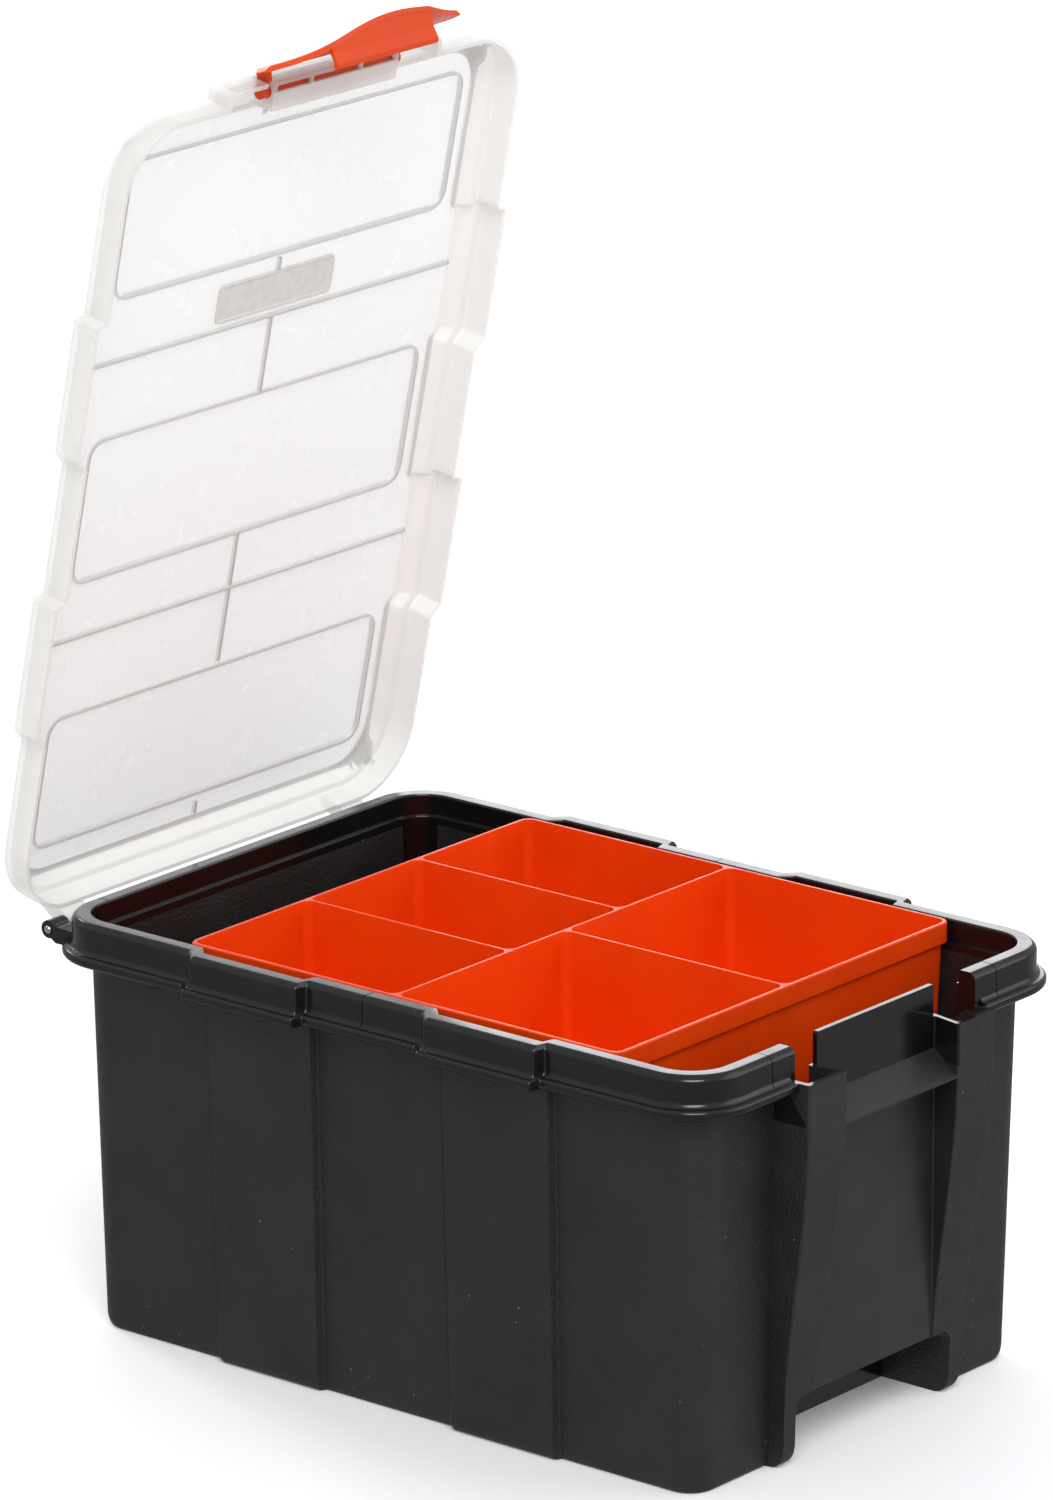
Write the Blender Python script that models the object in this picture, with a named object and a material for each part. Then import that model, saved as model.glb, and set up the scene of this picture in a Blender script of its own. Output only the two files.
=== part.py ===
"""Tackle box: a black moulded tub, a hinged clear lid with a snap latch, and a lift-out tray.

Blender 4.5, metres, +Z up. The origin is the centre of the base. The latch end faces -Y, the hinge +Y.
The lid is modelled closed, round its hinge axis, and then turned to its open rest angle.
"""

import math

import bmesh
import bpy

# Driving dimensions, in metres.
HALF_WIDTH = 0.100  # to the outer edge of the rim's top land, between the ribs
HALF_LENGTH = 0.146
CORNER_RADIUS = 0.020
LAND_Z = 0.155
RIB_ZONES = ((-0.0788, -0.0277), (0.0277, 0.0788))
RIB_STEP = 0.0008  # half the run of a rib's steep front end
RIM_BUMP = 0.0047
WALL_BUMP = 0.0030
CORNER_SEGMENTS = 5

WALL = 0.0020
FLOOR = 0.0024
LEDGE_Z = 0.1470
RIM_FACE = 0.0018  # how far the rim's face stands outside its land
RIM_GAP_HALF = 0.051

WALL_DRAFT = 0.0257  # how far the front wall's middle leans out per metre of height
FRONT_WALL_Y = -0.1357
FRONT_FLOOR_Y = -0.1325
LIP_GAP_HALF = 0.045
LIP_GAP_Z = 0.1385

CATCH_PLANE_Y = -0.1435
CATCH_CORNER_X = 0.0336
PILLAR_TOP_Z = 0.1433
PILLAR_REACH = 0.0120
PILLAR_CURVE = (0.007, 0.129)  # heights between which the pillars' fronts swing forward
PILLAR_OUTER = 0.0502
PILLAR_INNER = 0.0340
PILLAR_SPLAY = 0.02
PILLAR_FOOT_RADIUS = 0.008
PILLAR_TOP_HALF = 0.0540
PLATE_HALF = 0.0330
PLATE_LOW_Z = 0.1380
OVERLAP = 0.0001  # keeps joined faces from lying in one plane
SHELF_BACK_Z = 0.1319
SHELF_FRONT_Z = 0.1243
SHELF_FRONT_Y = -0.1550
SHELF_EDGE = 0.0008

RECESS_HALF = 0.0440
RECESS_HEIGHT = 0.0250
RECESS_BACK_Y = 0.1140
RECESS_CHAMFER = 0.004
RECESS_MOUTH_Y = 0.1372

HINGE_Y = 0.1563
HINGE_Z = 0.1449
LID_ANGLE = math.radians(-78.4)
KNUCKLE_RADIUS = 0.0034
BORE_RADIUS = 0.0018
PIN_RADIUS = 0.0015
HINGE_X = 0.077
LID_KNUCKLE_HALF = 0.0060
EAR_GAP = 0.0003
EAR_WIDTH = 0.0080
PIN_OVERHANG = 0.0008

LID_OVERHANG = 0.0066
LID_END_OVERHANG = 0.0049
LID_SKIRT_Z = 0.1469
LID_EDGE_Z = 0.1583
LID_TOP_Z = 0.1616
LID_WALL = 0.0017
LID_FIELD_Z = 0.1600  # underside of the raised middle
LID_CROSS_RIBS = (-0.0567, 0.0497)
LID_SPINE = ((-0.0791, -0.0741), (-0.0576, -0.0271), (0.0275, 0.0791), (0.1349, 0.1430))
CROSS_RIB_Z = 0.1554
SPINE_Z = 0.1583
RIB_ROOT_Z = 0.1608
RIB_HALF = 0.0007
BULGE_HALF = 0.0570
BULGE_Y = -0.1564
BOSS_HALF = 0.0335
BOSS_BACK_Y = -0.1467
BOSS_LIP_Y = -0.1522
BOSS_FLOOR_Z = 0.1470
BOSS_WALL = 0.0016
BOSS_LIP_THICKNESS = 0.0011
BOSS_BARS = (-0.0133, 0.0133)
GUSSETS = (-0.021, 0.0, 0.021)

LATCH_Y = -0.1515
LATCH_Z = 0.1510
LATCH_ANGLE = math.radians(-30)
ROD_RADIUS = 0.0024
ROD_PLAY = 0.0004
ARM_INNER = 0.0340
ARM_OUTER = 0.0368
COVER_HALF = 0.0530
COVER_FLAT = 0.0270
COVER_THICKNESS = 0.0020
COVER_TOP = 0.0030
COVER_TOP_DROP = 0.0130  # how far the top edge falls from the arms to the cover's ends
COVER_BOTTOM = 0.0300
COVER_BOTTOM_RISE = 0.0098
COVER_FLARE = 0.0078
TAB_HALF = 0.0272

TRAY_HALF_X = 0.0942
TRAY_FRONT_Y = -0.1055
TRAY_REAR_Y = 0.0882
TRAY_BAND = 0.0077
TRAY_DEPTH = 0.0450
TRAY_STEP = 0.0026
TRAY_WALL = 0.0016
TRAY_CROSS_Y = -0.0062
TRAY_REAR_DIVIDERS = (-0.0305, 0.0305)
TRAY_FLOOR = 0.0018

LABEL_SIZE = (0.0620, 0.0146, 0.0004)
LABEL_Y = -0.0666
LABEL_GAP = 0.0003

BLACK = (0.012, 0.012, 0.013, 1)
ORANGE = (0.83, 0.075, 0.012, 1)
MILKY = (0.80, 0.80, 0.77, 1)
STEEL = (0.55, 0.55, 0.56, 1)
GREY = (0.52, 0.52, 0.50, 1)


def clear_scene():
    for obj in list(bpy.data.objects):
        bpy.data.objects.remove(obj, do_unlink=True)


def material(name, color, roughness, metallic=0.0, alpha=1.0):
    mat = bpy.data.materials.new(name)
    mat.use_nodes = True
    shader = mat.node_tree.nodes["Principled BSDF"]
    shader.inputs["Base Color"].default_value = color
    shader.inputs["Roughness"].default_value = roughness
    shader.inputs["Metallic"].default_value = metallic
    shader.inputs["Alpha"].default_value = alpha
    return mat


def add_object(name, bm, mat=None, origin=(0, 0, 0)):
    """Turns a bmesh given in part coordinates into an object whose origin is at the given point."""
    bmesh.ops.recalc_face_normals(bm, faces=bm.faces)
    bmesh.ops.translate(bm, verts=bm.verts, vec=[-value for value in origin])
    mesh = bpy.data.meshes.new(name)
    bm.to_mesh(mesh)
    bm.free()
    obj = bpy.data.objects.new(name, mesh)
    obj.location = origin
    if mat:
        mesh.materials.append(mat)
    bpy.context.scene.collection.objects.link(obj)
    return obj


def loft(rings):
    """A closed solid through rings of equal point counts, capped at both ends."""
    bm = bmesh.new()
    rows = [[bm.verts.new(point) for point in ring] for ring in rings]
    for lower, upper in zip(rows, rows[1:]):
        for i in range(len(lower)):
            j = (i + 1) % len(lower)
            bm.faces.new((lower[i], lower[j], upper[j], upper[i]))
    bmesh.ops.triangulate(bm, faces=bm.faces)
    bm.faces.new(reversed(rows[0]))
    bm.faces.new(rows[-1])
    return bm


def box(low, high):
    (x0, y0, z0), (x1, y1, z1) = low, high
    plan = ((x0, y0), (x1, y0), (x1, y1), (x0, y1))
    return loft([[(x, y, z) for x, y in plan] for z in (z0, z1)])


def prism_x(profile, x0, x1):
    """A (y, z) outline extruded along X."""
    return loft([[(x, y, z) for y, z in profile] for x in (x0, x1)])


def circle(cy, cz, radius, start=0.0, sweep=2 * math.pi, count=20):
    """Points of a circle or an arc in the YZ plane; a full circle doesn't repeat its first point."""
    steps = count if sweep >= 2 * math.pi else count - 1
    angles = [start + sweep * i / steps for i in range(count)]
    return [(cy + radius * math.cos(angle), cz + radius * math.sin(angle)) for angle in angles]


def rounded_rectangle(x0, y0, x1, y1, radius, segments=3):
    corners = ((x1, y0, -90), (x1, y1, 0), (x0, y1, 90), (x0, y0, 180))
    points = []
    for x, y, start in corners:
        cx = x - math.copysign(radius, x - (x0 + x1) / 2)
        cy = y - math.copysign(radius, y - (y0 + y1) / 2)
        for i in range(segments + 1):
            angle = math.radians(start + 90 * i / segments)
            points.append((cx + radius * math.cos(angle), cy + radius * math.sin(angle)))
    return points


def stepped_outline(offset, bump, end_offset=None):
    """The box's plan outline, offset outwards from the rim's land, with two ribs on each long side."""
    half_x = HALF_WIDTH + offset
    half_y = HALF_LENGTH + (offset if end_offset is None else end_offset)
    grow = 0.2 * offset
    corners = rounded_rectangle(-half_x, -half_y, half_x, half_y, CORNER_RADIUS + offset, CORNER_SEGMENTS)
    quarter = CORNER_SEGMENTS + 1
    side = []
    for front, rear in RIB_ZONES:
        side += [
            (half_x, front - grow - RIB_STEP),
            (half_x + bump, front - grow + RIB_STEP),
            (half_x + bump, rear + grow - bump / 2),
            (half_x, rear + grow + bump / 2),
        ]
    left = [(-x, y) for x, y in reversed(side)]
    return corners[:quarter] + side + corners[quarter : 3 * quarter] + left + corners[3 * quarter :]


def stepped_loft(profile):
    """Lofts the plan outline through levels of (z, offset, rib depth, and the ends' own offset)."""
    return loft([[(x, y, z) for x, y in stepped_outline(*outline)] for z, *outline in profile])


def combine(obj, bm, operation, label):
    """Adds a Boolean modifier with its own hidden cutter."""
    cutter = add_object(f"{obj.name}_{label}_cutter", bm)
    cutter.hide_render = True
    cutter.display_type = "WIRE"
    modifier = obj.modifiers.new(label, "BOOLEAN")
    modifier.operation = operation
    modifier.solver = "EXACT"
    modifier.object = cutter
    return cutter


def shade(obj, angle=35):
    obj.data.shade_smooth()
    obj.data.set_sharp_from_angle(angle=math.radians(angle))


# Tub


def tub_shell():
    """The tub in one loft: up the outside, round the hollow rim, and down the inside to the floor."""
    return stepped_loft([
        (0.0, -0.0124, 0.0018),
        (0.0011, -0.0099, 0.0026),
        (0.0036, -0.0088, WALL_BUMP),
        (0.1445, -0.0052, WALL_BUMP),
        (0.1460, -0.0033, 0.0044),
        (0.1528, -0.0033, 0.0044),
        (0.1528, 0.0, RIM_BUMP),
        (0.1420, 0.0, RIM_BUMP),
        (0.1400, 0.0014, RIM_BUMP),
        (0.1400, 0.0046, RIM_BUMP),
        (0.1410, 0.0053, RIM_BUMP),
        (0.1434, 0.0049, RIM_BUMP),
        (0.1434, 0.0026, RIM_BUMP),
        (0.1450, RIM_FACE, RIM_BUMP),
        (0.1532, RIM_FACE, RIM_BUMP),
        (LAND_Z, 0.0, RIM_BUMP),
        (LAND_Z, -0.0053, RIM_BUMP),
        (LEDGE_Z, -0.0053, RIM_BUMP),
        (LEDGE_Z, -0.0076, WALL_BUMP),
        (0.1440, -0.0072, WALL_BUMP),
        (0.0060, -0.0108, WALL_BUMP),
        (0.0034, -0.0122, 0.0026),
        (FLOOR, -0.0148, 0.0018),
    ])


def pillar_front(z):
    """The pillars' front plane: upright at the top, curving back to the catch plane, rounded at the foot."""
    low, high = PILLAR_CURVE
    t = min(max((z - low) / (high - low), 0), 1)
    reach = PILLAR_REACH * t * t * (3 - 2 * t)
    radius = PILLAR_FOOT_RADIUS
    under = radius - math.sqrt(radius**2 - max(radius - z, 0) ** 2)
    return CATCH_PLANE_Y - reach + 0.8 * under


def wall_middle(z):
    """The middle of the front wall's thickness, which steps in round the floor's fillet."""
    if z < FLOOR:
        return FRONT_FLOOR_Y
    return FRONT_WALL_Y - WALL_DRAFT * z


def catch_block(inset, levels, back_y=None):
    """The two pillars and the panel between them; inset makes the matching hollow."""
    rings = []
    for z in levels:
        splay = PILLAR_SPLAY * min(z, 0.135)
        outer = PILLAR_OUTER + splay
        inner = PILLAR_INNER - splay
        back = wall_middle(z) if back_y is None else back_y
        front = pillar_front(z) + inset
        panel = CATCH_PLANE_Y + inset
        half = [
            (CATCH_CORNER_X + inset, panel),
            (inner + inset, front),
            (outer - inset, front),
            (outer - inset + 0.0004, back),
        ]
        rings.append([(-x, y, z) for x, y in reversed(half)] + [(x, y, z) for x, y in half])
    return loft(rings)


def foot_recess(sign, inset, low_z, mouth_y):
    """The finger recess under one end; inset is the wall left round it."""
    back = RECESS_BACK_Y - inset
    half = RECESS_HALF + inset
    top = RECESS_HEIGHT + inset
    profile = [
        (-half, low_z),
        (half, low_z),
        (half, top - RECESS_CHAMFER),
        (half - RECESS_CHAMFER, top),
        (-half + RECESS_CHAMFER, top),
        (-half, top - RECESS_CHAMFER),
    ]
    near, far = sorted((sign * back, sign * mouth_y))
    return loft([[(x, y, z) for x, z in profile] for y in (near, far)])


def hinge_ear(x0, x1):
    """A tub ear: a flat arm under the rim's lip and a barrel round the hinge axis."""
    barrel = circle(HINGE_Y, HINGE_Z, KNUCKLE_RADIUS, math.radians(-110), math.radians(260), 14)
    arm = [(0.1450, 0.1462), (0.1450, 0.1404), (0.1530, 0.1404)]
    return prism_x(arm + barrel, x0, x1)


def catch_shelf():
    """The sloping shelf between the pillars, which the latch's tooth catches under."""
    back_y = CATCH_PLANE_Y + 0.0010
    ends = (
        (SHELF_FRONT_Y, 0.0326, SHELF_FRONT_Z - SHELF_EDGE, SHELF_FRONT_Z),
        (back_y, 0.0346, SHELF_BACK_Z - 0.0016, SHELF_BACK_Z + 0.0006),
    )
    return loft([[(-x, y, low), (x, y, low), (x, y, high), (-x, y, high)] for y, x, low, high in ends])


def add_catch(tub):
    """The hollow pillars and their panel, with the finger recesses that pass below them."""
    levels = [0.0, 0.0012, 0.0035, 0.008, 0.025, 0.045, 0.065, 0.085, 0.105, 0.125, 0.150]
    lip_gap = box((-LIP_GAP_HALF, -0.17, LIP_GAP_Z), (LIP_GAP_HALF, CATCH_PLANE_Y + 0.0010, 0.17))
    combine(tub, lip_gap, "DIFFERENCE", "lip_gap")
    combine(tub, catch_block(0, levels), "UNION", "catch_block")
    for sign, name in ((-1, "front"), (1, "rear")):
        combine(tub, foot_recess(sign, WALL, 0.001, RECESS_MOUTH_Y), "UNION", f"{name}_recess_wall")
    hollow = [RECESS_HEIGHT + 0.0045] + [z for z in levels if z >= 0.045] + [0.17]
    combine(tub, catch_block(WALL, hollow, -0.1300), "DIFFERENCE", "catch_hollow")
    for sign, name in ((-1, "front"), (1, "rear")):
        combine(tub, foot_recess(sign, 0, -0.01, 0.17), "DIFFERENCE", f"{name}_recess")


def add_rim_gap(tub):
    """The gap in the rim over the catch, its closed ends, and the plate and shelf inside it."""
    rim_gap = box((-RIM_GAP_HALF, -0.17, PILLAR_TOP_Z), (RIM_GAP_HALF, -0.13, 0.17))
    combine(tub, rim_gap, "DIFFERENCE", "rim_gap")
    face_y = -HALF_LENGTH - RIM_FACE
    pillar_tops = box((-PILLAR_TOP_HALF, -0.17, PILLAR_TOP_Z), (PILLAR_TOP_HALF, face_y - OVERLAP, 0.17))
    combine(tub, pillar_tops, "DIFFERENCE", "pillar_tops")
    for sign, name in ((-1, "left"), (1, "right")):
        near, far = sorted((sign * (RIM_GAP_HALF - OVERLAP), sign * (RIM_GAP_HALF + 0.0018)))
        rim_end = box((near, -0.1474, 0.1412), (far, -0.1416, 0.1535))
        combine(tub, rim_end, "UNION", f"{name}_rim_end")
    plate = box(
        (-PLATE_HALF, CATCH_PLANE_Y + OVERLAP, PLATE_LOW_Z),
        (PLATE_HALF, CATCH_PLANE_Y + WALL - OVERLAP, LAND_Z),
    )
    combine(tub, plate, "UNION", "catch_plate")
    combine(tub, catch_shelf(), "UNION", "catch_shelf")


def add_ears(tub):
    """Two pairs of hinge ears and the bores for their pins."""
    inner = LID_KNUCKLE_HALF + EAR_GAP
    for sign, name in ((-1, "left"), (1, "right")):
        centre = sign * HINGE_X
        for edge, tag in ((-inner - EAR_WIDTH, "a"), (inner, "b")):
            ear = hinge_ear(centre + edge, centre + edge + EAR_WIDTH)
            combine(tub, ear, "UNION", f"{name}_ear_{tag}")
        reach = inner + EAR_WIDTH + 0.002
        bore = prism_x(circle(HINGE_Y, HINGE_Z, BORE_RADIUS), centre - reach, centre + reach)
        combine(tub, bore, "DIFFERENCE", f"{name}_bore")


def build_tub(mat):
    tub = add_object("body_tub", tub_shell(), mat)
    add_catch(tub)
    add_rim_gap(tub)
    add_ears(tub)


def build_pin(name, centre, mat):
    reach = LID_KNUCKLE_HALF + EAR_GAP + EAR_WIDTH + PIN_OVERHANG
    pin = prism_x(circle(HINGE_Y, HINGE_Z, PIN_RADIUS), centre - reach, centre + reach)
    obj = add_object(name, pin, mat, (centre, HINGE_Y, HINGE_Z))
    shade(obj)


# Lid, modelled closed


def lid_shell():
    """The lid's outside and its hollow: a skirt, a flat border, and a raised middle."""
    end = LID_END_OVERHANG
    outer = stepped_loft([
        (LID_SKIRT_Z, LID_OVERHANG, RIM_BUMP, end),
        (LID_EDGE_Z - 0.0014, LID_OVERHANG, RIM_BUMP, end),
        (LID_EDGE_Z, LID_OVERHANG - 0.0014, RIM_BUMP, end - 0.0014),
        (LID_EDGE_Z, 0.0012, RIM_BUMP),
        (LID_TOP_Z - 0.0006, -0.0014, 0.0040),
        (LID_TOP_Z, -0.0026, 0.0036),
    ])
    side, end = LID_OVERHANG - LID_WALL, end - LID_WALL
    hollow = stepped_loft([
        (LID_SKIRT_Z - 0.01, side, RIM_BUMP, end),
        (LID_EDGE_Z - LID_WALL, side, RIM_BUMP, end),
        (LID_EDGE_Z - LID_WALL, 0.0004, RIM_BUMP),
        (LID_FIELD_Z - 0.0006, -0.0022, 0.0040),
        (LID_FIELD_Z, -0.0034, 0.0036),
    ])
    return outer, hollow


def lid_ribs():
    """Two cross ribs and a broken rib along the middle, as boxes that run into the lid's plate."""
    cross_half = HALF_WIDTH + 0.0010
    ribs = [
        box((-cross_half, y - RIB_HALF, CROSS_RIB_Z), (cross_half, y + RIB_HALF, RIB_ROOT_Z))
        for y in LID_CROSS_RIBS
    ]
    return ribs + [box((-RIB_HALF, y0, SPINE_Z), (RIB_HALF, y1, RIB_ROOT_Z)) for y0, y1 in LID_SPINE]


def lid_boss():
    """The pocket that holds the latch's rod: back wall, lip, end cheeks, retaining bars and gussets."""
    plate_z = LID_EDGE_Z - 0.0008
    end = BULGE_Y + 0.0008
    lip_z = BOSS_FLOOR_Z + BOSS_LIP_THICKNESS
    pieces = [
        box((-BOSS_HALF, BOSS_BACK_Y, BOSS_FLOOR_Z), (BOSS_HALF, BOSS_BACK_Y + BOSS_WALL, plate_z + 0.0009)),
        box((-BOSS_HALF, BOSS_LIP_Y, BOSS_FLOOR_Z), (BOSS_HALF, BOSS_BACK_Y + 0.0005, lip_z)),
    ]
    for sign in (-1, 1):
        near, far = sorted((sign * (BOSS_HALF - BOSS_WALL), sign * BOSS_HALF))
        pieces.append(box((near, end, BOSS_FLOOR_Z), (far, BOSS_BACK_Y + 0.0008, plate_z)))
    for x in BOSS_BARS:
        pieces.append(box((x - RIB_HALF, end, BOSS_FLOOR_Z), (x + RIB_HALF, BOSS_LIP_Y + 0.0006, lip_z)))
    for x in GUSSETS:
        gusset = [(-0.1455, 0.1556), (-0.1455, 0.1590), (-0.1430, 0.1605), (-0.1370, 0.1605)]
        pieces.append(prism_x(gusset, x - RIB_HALF, x + RIB_HALF))
    return pieces


def lid_knuckle(centre):
    barrel = circle(HINGE_Y, HINGE_Z, KNUCKLE_RADIUS, math.radians(-160), math.radians(230), 13)
    arm = [(0.1535, 0.1572), (0.1497, 0.1572), (0.1497, 0.1500)]
    return prism_x(arm + barrel, centre - LID_KNUCKLE_HALF, centre + LID_KNUCKLE_HALF)


def build_lid(mat):
    hinge = (0, HINGE_Y, HINGE_Z)
    outer, hollow = lid_shell()
    lid = add_object("lid", outer, mat, hinge)
    hollow_end = BULGE_Y + BOSS_WALL
    parts = [
        (box((-BULGE_HALF, BULGE_Y, LID_SKIRT_Z), (BULGE_HALF, -0.1450, LID_EDGE_Z)), "UNION", "bulge"),
        (hollow, "DIFFERENCE", "hollow"),
        (
            box(
                (-BULGE_HALF + LID_WALL, hollow_end, LID_SKIRT_Z - 0.01),
                (BULGE_HALF - LID_WALL, -0.1440, LID_EDGE_Z - LID_WALL),
            ),
            "DIFFERENCE",
            "bulge_hollow",
        ),
    ]
    parts += [(piece, "UNION", f"boss_{i}") for i, piece in enumerate(lid_boss())]
    parts += [(rib, "UNION", f"rib_{i}") for i, rib in enumerate(lid_ribs())]
    rod_hole = circle(LATCH_Y, LATCH_Z, ROD_RADIUS + ROD_PLAY)
    parts.append((prism_x(rod_hole, -0.036, 0.036), "DIFFERENCE", "rod_hole"))
    for sign, name in ((-1, "left"), (1, "right")):
        near, far = sorted((sign * (BOSS_HALF + 0.0001), sign * (ARM_OUTER + 0.0005)))
        notch = box((near, -0.16, LID_SKIRT_Z - 0.01), (far, -0.1540, LATCH_Z + 0.0034))
        parts.append((notch, "DIFFERENCE", f"{name}_arm_notch"))
        parts.append((lid_knuckle(sign * HINGE_X), "UNION", f"{name}_knuckle"))
        bore = prism_x(circle(HINGE_Y, HINGE_Z, BORE_RADIUS), sign * HINGE_X - 0.01, sign * HINGE_X + 0.01)
        parts.append((bore, "DIFFERENCE", f"{name}_bore"))
    for bm, operation, label in parts:
        cutter = combine(lid, bm, operation, label)
        cutter.parent = lid
        cutter.location = [-value for value in hinge]
    lid.rotation_euler.x = LID_ANGLE
    return lid


# Latch, modelled closed round its rod


def cover_section(x):
    """One (y, z) section of the latch's cover at x: a curved plate that flares out at its lower edge."""
    side = max(abs(x) - COVER_FLAT, 0) / (COVER_HALF - COVER_FLAT)
    top = COVER_TOP + COVER_TOP_DROP * max(abs(x) - ARM_OUTER, 0) / (COVER_HALF - ARM_OUTER)
    bottom = COVER_BOTTOM - COVER_BOTTOM_RISE * side
    flare = COVER_FLARE - 0.0030 * side
    count = 6
    inner = []
    outer = []
    for i in range(count):
        t = i / (count - 1)
        depth = top + (bottom - top) * t
        front = 0.0062 + flare * t * t
        inner.append((-front, -depth))
        outer.append((-front - COVER_THICKNESS, -depth + 0.0008 * t))
    return outer + inner[::-1]


def latch_cover():
    stations = [i / 8 for i in range(-8, 9)]
    return loft([[(COVER_HALF * s, y, z) for y, z in cover_section(COVER_HALF * s)] for s in stations])


def build_latch(mat, lid):
    latch = add_object("latch", latch_cover(), mat)
    tab = [
        (-0.0020, -0.0278),
        (-0.0020, -0.0302),
        (-0.0030, -0.0312),
        (-0.0148, -0.0300),
        (-0.0140, -0.0282),
        (-0.0050, -0.0293),
        (-0.0040, -0.0278),
    ]
    combine(latch, prism_x(tab, -TAB_HALF, TAB_HALF), "UNION", "tab")
    arm = [
        (0.0024, -0.0014),
        (0.0012, 0.0025),
        (-0.0012, 0.0025),
        (-0.0024, 0.0014),
        (-0.0024, -0.0036),
        (-0.0074, -0.0036),
        (-0.0074, -0.0070),
        (0.0024, -0.0070),
    ]
    for sign, name in ((-1, "left"), (1, "right")):
        near, far = sorted((sign * ARM_INNER, sign * ARM_OUTER))
        combine(latch, prism_x(arm, near, far), "UNION", f"{name}_arm")
    rod = prism_x(circle(0, 0, ROD_RADIUS, count=16), -ARM_INNER - 0.001, ARM_INNER + 0.001)
    combine(latch, rod, "UNION", "rod")
    for cutter in [modifier.object for modifier in latch.modifiers]:
        cutter.parent = latch
    latch.parent = lid
    latch.location = (0, LATCH_Y - HINGE_Y, LATCH_Z - HINGE_Z)
    latch.rotation_euler.x = LATCH_ANGLE


def build_label(mat, lid):
    size_x, size_y, size_z = LABEL_SIZE
    top = LID_FIELD_Z - LABEL_GAP
    centre = (0, LABEL_Y, top)
    plan = rounded_rectangle(-size_x / 2, LABEL_Y - size_y / 2, size_x / 2, LABEL_Y + size_y / 2, 0.0012)
    rings = [[(x, y, z) for x, y in plan] for z in (top - size_z, top)]
    label = add_object("label_plate", loft(rings), mat, centre)
    label.parent = lid
    label.location = (0, LABEL_Y - HINGE_Y, top - HINGE_Z)


# Tray


def tray_pocket(x0, y0, x1, y1):
    """One compartment: straight walls with a little draft and a rounded floor edge."""
    top = LAND_Z + 0.001
    floor = LAND_Z - TRAY_DEPTH + TRAY_FLOOR
    rings = []
    for z, inset, radius in ((floor, 0.0034, 0.0016), (floor + 0.0022, 0.0012, 0.0026), (top, 0.0, 0.0030)):
        plan = rounded_rectangle(x0 + inset, y0 + inset, x1 - inset, y1 - inset, radius)
        rings.append([(x, y, z) for x, y in plan])
    return loft(rings)


def tray_outside():
    """The tray's outside: a rounded bottom edge, drafted sides and a wider band along the top."""
    bottom = LAND_Z - TRAY_DEPTH
    band = LAND_Z - TRAY_BAND
    rings = []
    for z, inset, radius in (
        (bottom, TRAY_STEP + 0.0036, 0.0016),
        (bottom + 0.0016, TRAY_STEP + 0.0020, 0.0032),
        (band, TRAY_STEP, 0.0036),
        (band, 0.0, 0.0040),
        (LAND_Z, 0.0, 0.0040),
    ):
        plan = rounded_rectangle(
            -TRAY_HALF_X + inset, TRAY_FRONT_Y + inset, TRAY_HALF_X - inset, TRAY_REAR_Y - inset, radius
        )
        rings.append([(x, y, z) for x, y in plan])
    return loft(rings)


def build_tray(mat):
    origin = (0, (TRAY_FRONT_Y + TRAY_REAR_Y) / 2, LAND_Z - TRAY_DEPTH)
    tray = add_object("tray", tray_outside(), mat, origin)
    edge = TRAY_STEP + TRAY_WALL
    half = TRAY_WALL / 2
    x_stops = (-TRAY_HALF_X + edge, *TRAY_REAR_DIVIDERS, TRAY_HALF_X - edge)
    pockets = []
    for i, (x0, x1) in enumerate(zip(x_stops, x_stops[1:])):
        low = x0 + (half if i > 0 else 0)
        high = x1 - (half if i < len(x_stops) - 2 else 0)
        pockets.append((low, TRAY_CROSS_Y + half, high, TRAY_REAR_Y - edge))
    pockets.append((x_stops[0], TRAY_FRONT_Y + edge, -half, TRAY_CROSS_Y - half))
    pockets.append((half, TRAY_FRONT_Y + edge, x_stops[-1], TRAY_CROSS_Y - half))
    for i, pocket in enumerate(pockets):
        combine(tray, tray_pocket(*pocket), "DIFFERENCE", f"pocket_{i}")


def main():
    clear_scene()
    black = material("black_plastic", BLACK, 0.45)
    orange = material("orange_plastic", ORANGE, 0.30)
    milky = material("clear_plastic", MILKY, 0.30, alpha=0.55)
    steel = material("pin_steel", STEEL, 0.35, metallic=1.0)
    grey = material("label_paper", GREY, 0.60)
    build_tub(black)
    build_pin("hinge_pin_left", -HINGE_X, steel)
    build_pin("hinge_pin_right", HINGE_X, steel)
    lid = build_lid(milky)
    build_latch(orange, lid)
    build_label(grey, lid)
    build_tray(orange)


main()
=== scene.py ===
"""The looks of the tackle box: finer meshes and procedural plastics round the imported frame.

Metres, +Z up, in the frame's own coordinates. The latch end faces -Y and the hinge is at +Y.
The lid and its label are modelled closed and turned to the open rest angle.
The latch is modelled round its rod at the origin, hanging as on the closed lid, and turned to its rest angle.
"""

import math

import bmesh
import bpy
from mathutils import Matrix, Vector


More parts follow.
